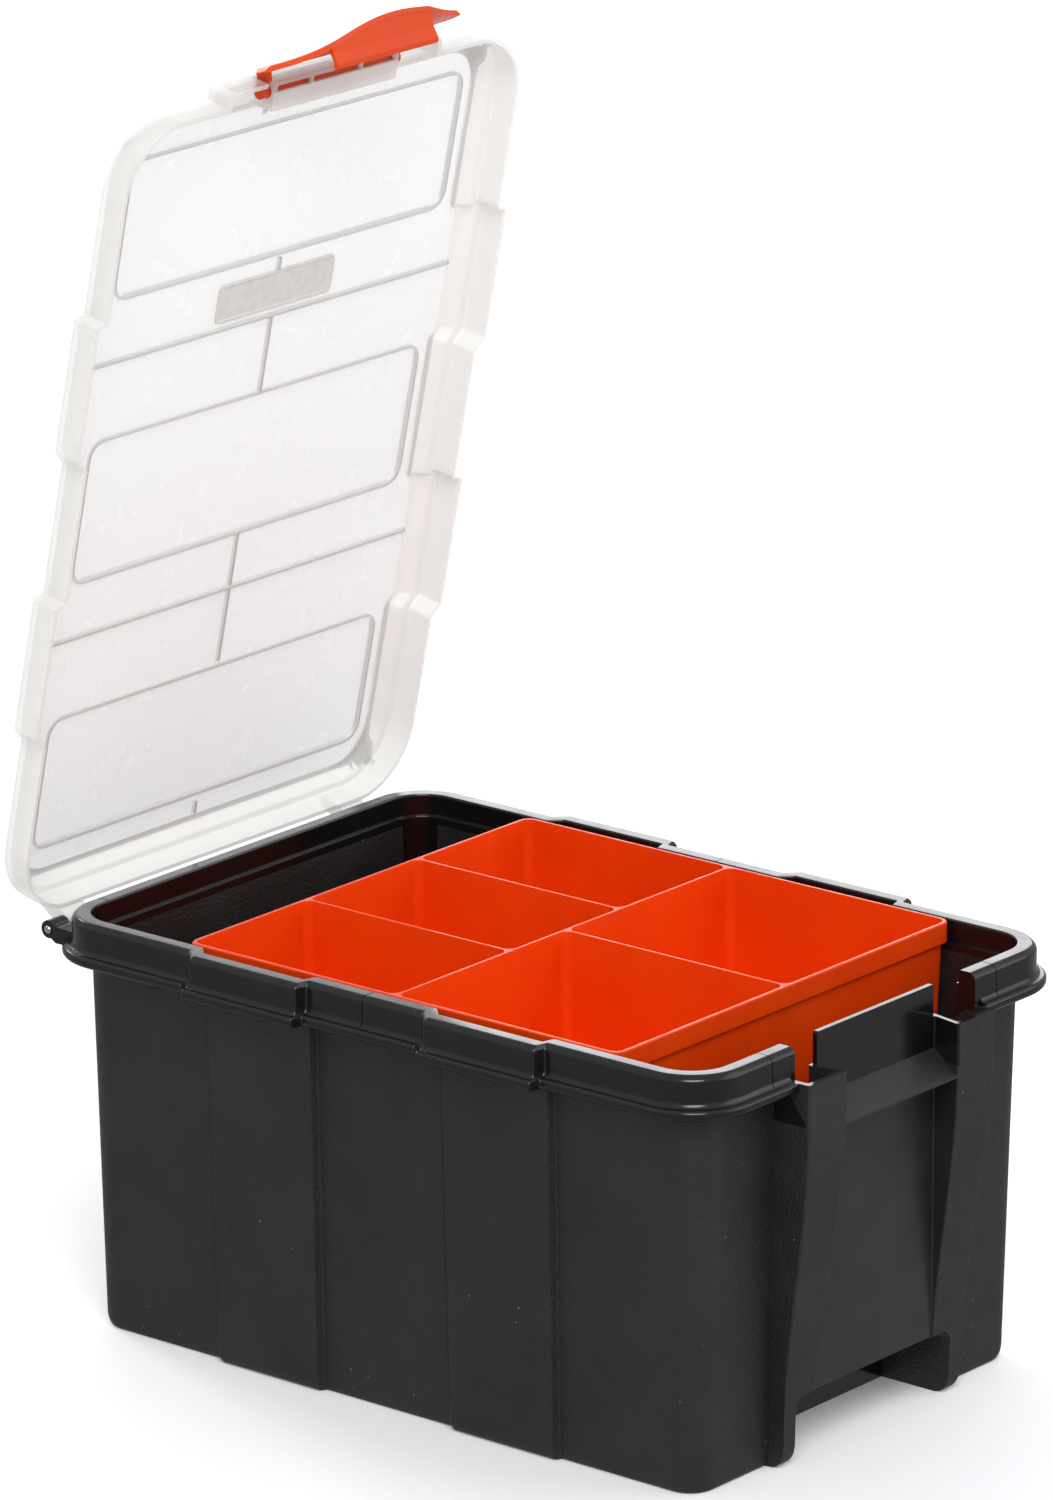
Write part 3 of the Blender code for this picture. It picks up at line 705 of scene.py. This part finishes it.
def latch_arm(x0, x1):
    """An arm: a round end on the rod and a straight bar out to the cover."""
    round_end = circle(0, 0, ROD_RADIUS, math.radians(-125), math.radians(270), 20)
    return prism_x(round_end + [(-0.0076, -0.0022), (-0.0076, -0.0060), (-0.0030, -0.0048)], x0, x1)


def build_latch(orange):
    latch = add_piece("latch_shell", latch_cover(), orange)
    cuts = [("U", latch_tab())]
    for sign in (-1, 1):
        near, far = sorted((sign * 0.0340, sign * 0.0368))
        cuts.append(("U", latch_arm(near, far)))
    cuts.append(("U", prism_x(circle(0, 0, ROD_RADIUS, count=28), -0.0350, 0.0350)))
    carve(latch, cuts)
    shade(latch, 38)
    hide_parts("latch")
    open_lid(latch, "latch", Matrix.Translation(ROD) @ Matrix.Rotation(LATCH_ANGLE, 4, "X"))


# Tray


def tray_pocket(x0, y0, x1, y1):
    """One compartment: drafted walls, a rounded floor edge and an eased rim."""
    floor = LAND_Z - TRAY_DEPTH + 0.0018
    rings = []
    levels = (
        (floor, 0.0046, 0.0012),
        (floor + 0.0004, 0.0030, 0.0020),
        (floor + 0.0013, 0.0020, 0.0026),
        (floor + 0.0030, 0.0015, 0.0030),
        (LAND_Z - TRAY_BAND - 0.0008, 0.0003, 0.0034),
        (LAND_Z - 0.0003, 0.0000, 0.0034),
        (LAND_Z, -0.0002, 0.0036),
        (LAND_Z + 0.001, -0.0002, 0.0036),
    )
    for z, inset, radius in levels:
        plan = rectangle(x0 + inset, y0 + inset, x1 - inset, y1 - inset, radius)
        rings.append([(x, y, z) for x, y in plan])
    return loft(rings)


def tray_outside():
    bottom, band = LAND_Z - TRAY_DEPTH, LAND_Z - TRAY_BAND
    rings = []
    levels = (
        (bottom, 0.0052, 0.0014),
        (bottom + 0.0004, 0.0036, 0.0024),
        (bottom + 0.0016, 0.0028, 0.0032),
        (band - 0.0003, TRAY_STEP, 0.0040),
        (band, TRAY_STEP - 0.0002, 0.0040),
        (band, 0.0003, 0.0042),
        (band + 0.0003, 0.0, 0.0044),
        (LAND_Z - 0.0004, 0.0, 0.0044),
        (LAND_Z, 0.0004, 0.0042),
    )
    for z, inset, radius in levels:
        x, front, rear = TRAY_HALF_X - inset, TRAY_FRONT_Y + inset, TRAY_REAR_Y - inset
        rings.append([(px, py, z) for px, py in rectangle(-x, front, x, rear, radius)])
    return loft(rings)


def build_tray(orange):
    tray = add_piece("tray_shell", tray_outside(), orange)
    edge = TRAY_WALL + 0.0004
    half = TRAY_WALL / 2
    stops = (-TRAY_HALF_X + edge, -0.0305, 0.0305, TRAY_HALF_X - edge)
    pockets = []
    for i, (x0, x1) in enumerate(zip(stops, stops[1:])):
        low = x0 + (half if i > 0 else 0)
        high = x1 - (half if i < len(stops) - 2 else 0)
        pockets.append((low, TRAY_CROSS_Y + half, high, TRAY_REAR_Y - edge))
    pockets.append((stops[0], TRAY_FRONT_Y + edge, -half, TRAY_CROSS_Y - half))
    pockets.append((half, TRAY_FRONT_Y + edge, stops[-1], TRAY_CROSS_Y - half))
    carve(tray, [("D", tray_pocket(*pocket)) for pocket in pockets])
    shade(tray)
    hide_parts("tray")
    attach(tray, "tray")


# Materials


def new_material(name, **values):
    """A Principled material and its nodes; values go on the shader's own sockets."""
    mat = bpy.data.materials.new(name)
    mat.use_nodes = True
    nodes = mat.node_tree.nodes
    shader = nodes["Principled BSDF"]
    for socket, value in values.items():
        shader.inputs[socket.replace("_", " ")].default_value = value
    where = nodes.new("ShaderNodeTexCoord")
    return mat, nodes, mat.node_tree.links, shader, where.outputs["Object"]


def noise(nodes, links, where, scale, detail=2.0, roughness=0.5):
    node = nodes.new("ShaderNodeTexNoise")
    node.inputs["Scale"].default_value = scale
    node.inputs["Detail"].default_value = detail
    node.inputs["Roughness"].default_value = roughness
    links.new(where, node.inputs["Vector"])
    return node.outputs["Fac"]


def ramp(nodes, links, source, low, high, start=0.35, end=0.65):
    """Maps a factor to a colour or grey range."""
    node = nodes.new("ShaderNodeValToRGB")
    for element, position, value in zip(node.color_ramp.elements, (start, end), (low, high)):
        element.position = position
        element.color = value if isinstance(value, tuple) else (value, value, value, 1)
    links.new(source, node.inputs["Fac"])
    return node.outputs["Color"]


def bump(nodes, links, height, distance, strength, shader, below=None):
    node = nodes.new("ShaderNodeBump")
    node.inputs["Distance"].default_value = distance
    node.inputs["Strength"].default_value = strength
    links.new(height, node.inputs["Height"])
    if below:
        links.new(below, node.inputs["Normal"])
    links.new(node.outputs["Normal"], shader.inputs["Normal"])
    return node.outputs["Normal"]


def dust(nodes, links, where, scale, size, color, base):
    """Sparse specks: the cores of a few Voronoi cells."""
    cells = nodes.new("ShaderNodeTexVoronoi")
    cells.inputs["Scale"].default_value = scale
    links.new(where, cells.inputs["Vector"])
    core = nodes.new("ShaderNodeMath")
    core.operation = "LESS_THAN"
    core.inputs[1].default_value = size
    links.new(cells.outputs["Distance"], core.inputs[0])
    pick = nodes.new("ShaderNodeSeparateColor")
    links.new(cells.outputs["Color"], pick.inputs["Color"])
    few = nodes.new("ShaderNodeMath")
    few.operation = "LESS_THAN"
    few.inputs[1].default_value = 0.10
    links.new(pick.outputs["Red"], few.inputs[0])
    both = nodes.new("ShaderNodeMath")
    both.operation = "MULTIPLY"
    links.new(core.outputs[0], both.inputs[0])
    links.new(few.outputs[0], both.inputs[1])
    mix = nodes.new("ShaderNodeMix")
    mix.data_type = "RGBA"
    links.new(both.outputs[0], mix.inputs["Factor"])
    links.new(base, mix.inputs["A"])
    mix.inputs["B"].default_value = color
    return mix.outputs["Result"]


def grained_black():
    """Spark-eroded black polypropylene with a little dust caught in the grain."""
    mat, nodes, links, shader, where = new_material("black_grained", Roughness=0.5)
    cloud = noise(nodes, links, where, 26, 3)
    tone = ramp(nodes, links, cloud, (0.0125, 0.0112, 0.0110, 1), (0.0165, 0.0150, 0.0148, 1))
    links.new(dust(nodes, links, where, 230, 0.055, (0.26, 0.25, 0.24, 1), tone), shader.inputs["Base Color"])
    links.new(ramp(nodes, links, noise(nodes, links, where, 60, 4), 0.40, 0.52), shader.inputs["Roughness"])
    coarse = bump(nodes, links, noise(nodes, links, where, 900, 2, 0.6), 0.00050, 0.80, shader)
    bump(nodes, links, noise(nodes, links, where, 2600, 1), 0.00015, 0.50, shader, coarse)
    return mat


def smooth_black(name, tone, rough, haze):
    """The same plastic off a polished mould, with faint handling haze."""
    mat, nodes, links, shader, where = new_material(name, Roughness=rough)
    cloud = noise(nodes, links, where, 40, 3)
    low = (tone, 0.93 * tone, 0.96 * tone, 1)
    high = (1.3 * tone, 1.2 * tone, 1.24 * tone, 1)
    black = ramp(nodes, links, cloud, low, high)
    specks = dust(nodes, links, where, 160, 0.035, (0.24, 0.23, 0.22, 1), black)
    links.new(specks, shader.inputs["Base Color"])
    smears = noise(nodes, links, where, 90, 5, 0.6)
    links.new(ramp(nodes, links, smears, rough - haze, rough + haze), shader.inputs["Roughness"])
    bump(nodes, links, noise(nodes, links, where, 420, 2), 0.00005, 0.25, shader)
    return mat


def orange_plastic(name, low, high):
    """Glossy moulded orange with slight waviness and paler scuffs."""
    mat, nodes, links, shader, where = new_material(name, Roughness=0.33)
    shader.inputs["Specular IOR Level"].default_value = 0.26
    shader.inputs["Subsurface Weight"].default_value = 0.08
    shader.inputs["Subsurface Radius"].default_value = (0.0030, 0.0009, 0.0003)
    shader.inputs["Subsurface Scale"].default_value = 1.0
    cloud = noise(nodes, links, where, 22, 3)
    tone = ramp(nodes, links, cloud, (*low, 1), (*high, 1))
    links.new(dust(nodes, links, where, 190, 0.030, (0.95, 0.30, 0.12, 1), tone), shader.inputs["Base Color"])
    links.new(ramp(nodes, links, noise(nodes, links, where, 120, 4), 0.28, 0.40), shader.inputs["Roughness"])
    wave = bump(nodes, links, noise(nodes, links, where, 60, 1), 0.00030, 0.15, shader)
    bump(nodes, links, noise(nodes, links, where, 1500, 2), 0.00005, 0.20, shader, wave)
    return mat


def milky(name, color, alpha, rough, grain):
    """Translucent polypropylene: light passes and scatters, and things behind it show faintly."""
    mat, nodes, links, shader, where = new_material(name, Alpha=alpha, Roughness=rough[0])
    cloud = noise(nodes, links, where, 18, 3)
    darker = tuple(0.985 * c for c in color) + (1,)
    links.new(ramp(nodes, links, cloud, darker, color + (1,)), shader.inputs["Base Color"])
    haze = noise(nodes, links, where, 70, 2)
    links.new(ramp(nodes, links, haze, *rough, 0.2, 0.8), shader.inputs["Roughness"])
    bump(nodes, links, noise(nodes, links, where, 600, 2), 0.00012, grain, shader)
    return mat


def label_grey():
    mat, nodes, links, shader, where = new_material("label_paper", Roughness=0.6)
    cloud = noise(nodes, links, where, 300, 3)
    tone = ramp(nodes, links, cloud, (0.60, 0.585, 0.55, 1), (0.66, 0.645, 0.61, 1))
    links.new(tone, shader.inputs["Base Color"])
    bump(nodes, links, noise(nodes, links, where, 1500, 2), 0.00006, 0.3, shader)
    return mat


def pin_steel():
    mat, nodes, links, shader, where = new_material("pin_wire", Metallic=1.0, Roughness=0.3)
    shader.inputs["Base Color"].default_value = (0.56, 0.56, 0.57, 1)
    links.new(ramp(nodes, links, noise(nodes, links, where, 700, 3), 0.25, 0.42), shader.inputs["Roughness"])
    return mat


def floor_paper():
    mat, nodes, links, shader, where = new_material("floor_paper", Roughness=0.75)
    cloud = noise(nodes, links, where, 3, 3)
    tone = ramp(nodes, links, cloud, (0.885, 0.885, 0.885, 1), (0.905, 0.905, 0.905, 1))
    links.new(tone, shader.inputs["Base Color"])
    shader.inputs["Emission Color"].default_value = (1, 1, 1, 1)
    shader.inputs["Emission Strength"].default_value = 0.12
    return mat


# Studio


def build_floor(paper):
    bm = box((-6, -6, -0.02), (6, 6, 0))
    floor = add_piece("studio_floor", bm, paper)
    floor.visible_glossy = False


def aim_light(name, kind, energy, place, target=(0, 0, 0)):
    data = bpy.data.lights.new(name, kind)
    data.energy = energy
    light = bpy.data.objects.new(name, data)
    light.location = place
    light.rotation_euler = (Vector(target) - Vector(place)).to_track_quat("-Z", "Y").to_euler()
    bpy.context.scene.collection.objects.link(light)
    return data


def soft_sun(name, place, strength, spread, color=(1, 1, 1)):
    """A distant lamp as wide as a big softbox, seen from the given place."""
    data = aim_light(name, "SUN", strength, place)
    data.angle = math.radians(spread)
    data.color = color


def softbox(name, place, size, power):
    data = aim_light(name, "AREA", power, place, (0, 0, 0.15))
    data.shape = "RECTANGLE"
    data.size, data.size_y = size


def build_world():
    """A pale room: dim below the horizon, brighter above it."""
    world = bpy.data.worlds.new("studio")
    bpy.context.scene.world = world
    world.use_nodes = True
    nodes, links = world.node_tree.nodes, world.node_tree.links
    where = nodes.new("ShaderNodeTexCoord")
    split = nodes.new("ShaderNodeSeparateXYZ")
    links.new(where.outputs["Generated"], split.inputs[0])
    tone = ramp(nodes, links, split.outputs["Z"], (0.36, 0.345, 0.34, 1), (0.60, 0.61, 0.64, 1), 0.0, 0.35)
    links.new(tone, nodes["Background"].inputs["Color"])


def build_lights():
    softbox("rear_softbox", (2.25, 1.85, 1.05), (2.6, 0.8), 20)
    soft_sun("key", (-1.6, -1.5, 2.2), 1.65, 30)
    soft_sun("fill", (1.7, -2.2, 1.3), 0.60, 50, (0.97, 0.98, 1))
    soft_sun("back", (0.7, 2.6, 1.5), 0.90, 18)
    build_world()


def build_camera():
    """A long lens, turned 50.7 degrees to the left of the latch end and 17 degrees up."""
    azimuth, elevation, roll = math.radians(CAMERA_AZIMUTH), math.radians(CAMERA_ELEVATION), CAMERA_ROLL
    back = Vector((
        math.sin(azimuth) * math.cos(elevation),
        -math.cos(azimuth) * math.cos(elevation),
        math.sin(elevation),
    ))
    right = (-back).cross(Vector((0, 0, 1))).normalized()
    up = right.cross(-back)
    right, up = (
        right * math.cos(roll) + up * math.sin(roll),
        up * math.cos(roll) - right * math.sin(roll),
    )
    data = bpy.data.cameras.new("camera")
    data.sensor_width = 36
    data.lens = CAMERA_LENS
    data.clip_end = 50
    camera = bpy.data.objects.new("camera", data)
    rim_centre = Vector((0, 0.0013, LAND_Z))
    place = rim_centre + back * CAMERA_DISTANCE - right * 0.00788 + up * 0.06178
    turn = Matrix((right, up, back)).transposed().to_4x4()
    camera.matrix_world = Matrix.Translation(place) @ turn
    bpy.context.scene.collection.objects.link(camera)
    bpy.context.scene.camera = camera
    bpy.context.scene.view_settings.view_transform = "Standard"


build_tub(
    grained_black(),
    smooth_black("black_satin", 0.016, 0.36, 0.05),
    # The gloss black is darker than the satin: it is painted shade where it lines the tub's inside.
    smooth_black("black_gloss_painted_shade", 0.0048, 0.18, 0.04),
)
build_pins(pin_steel())
build_lid(
    milky("lid_frosted", (0.490, 0.484, 0.461), 0.68, (0.42, 0.45), 0.30),
    milky("lid_window", (0.710, 0.705, 0.680), 0.42, (0.26, 0.28), 0.08),
    # The border material's paler base is painted light on the skirt and border, which face away from the key
    # lamp.
    milky("lid_border_painted_light", (0.85, 0.840, 0.805), 0.60, (0.38, 0.42), 0.30),
)
build_label(label_grey())
build_latch(orange_plastic("orange_latch", (0.62, 0.052, 0.0030), (0.67, 0.062, 0.0040)))
build_tray(orange_plastic("orange_tray", (0.78, 0.050, 0.0010), (0.83, 0.060, 0.0016)))
build_floor(floor_paper())
build_lights()
build_camera()
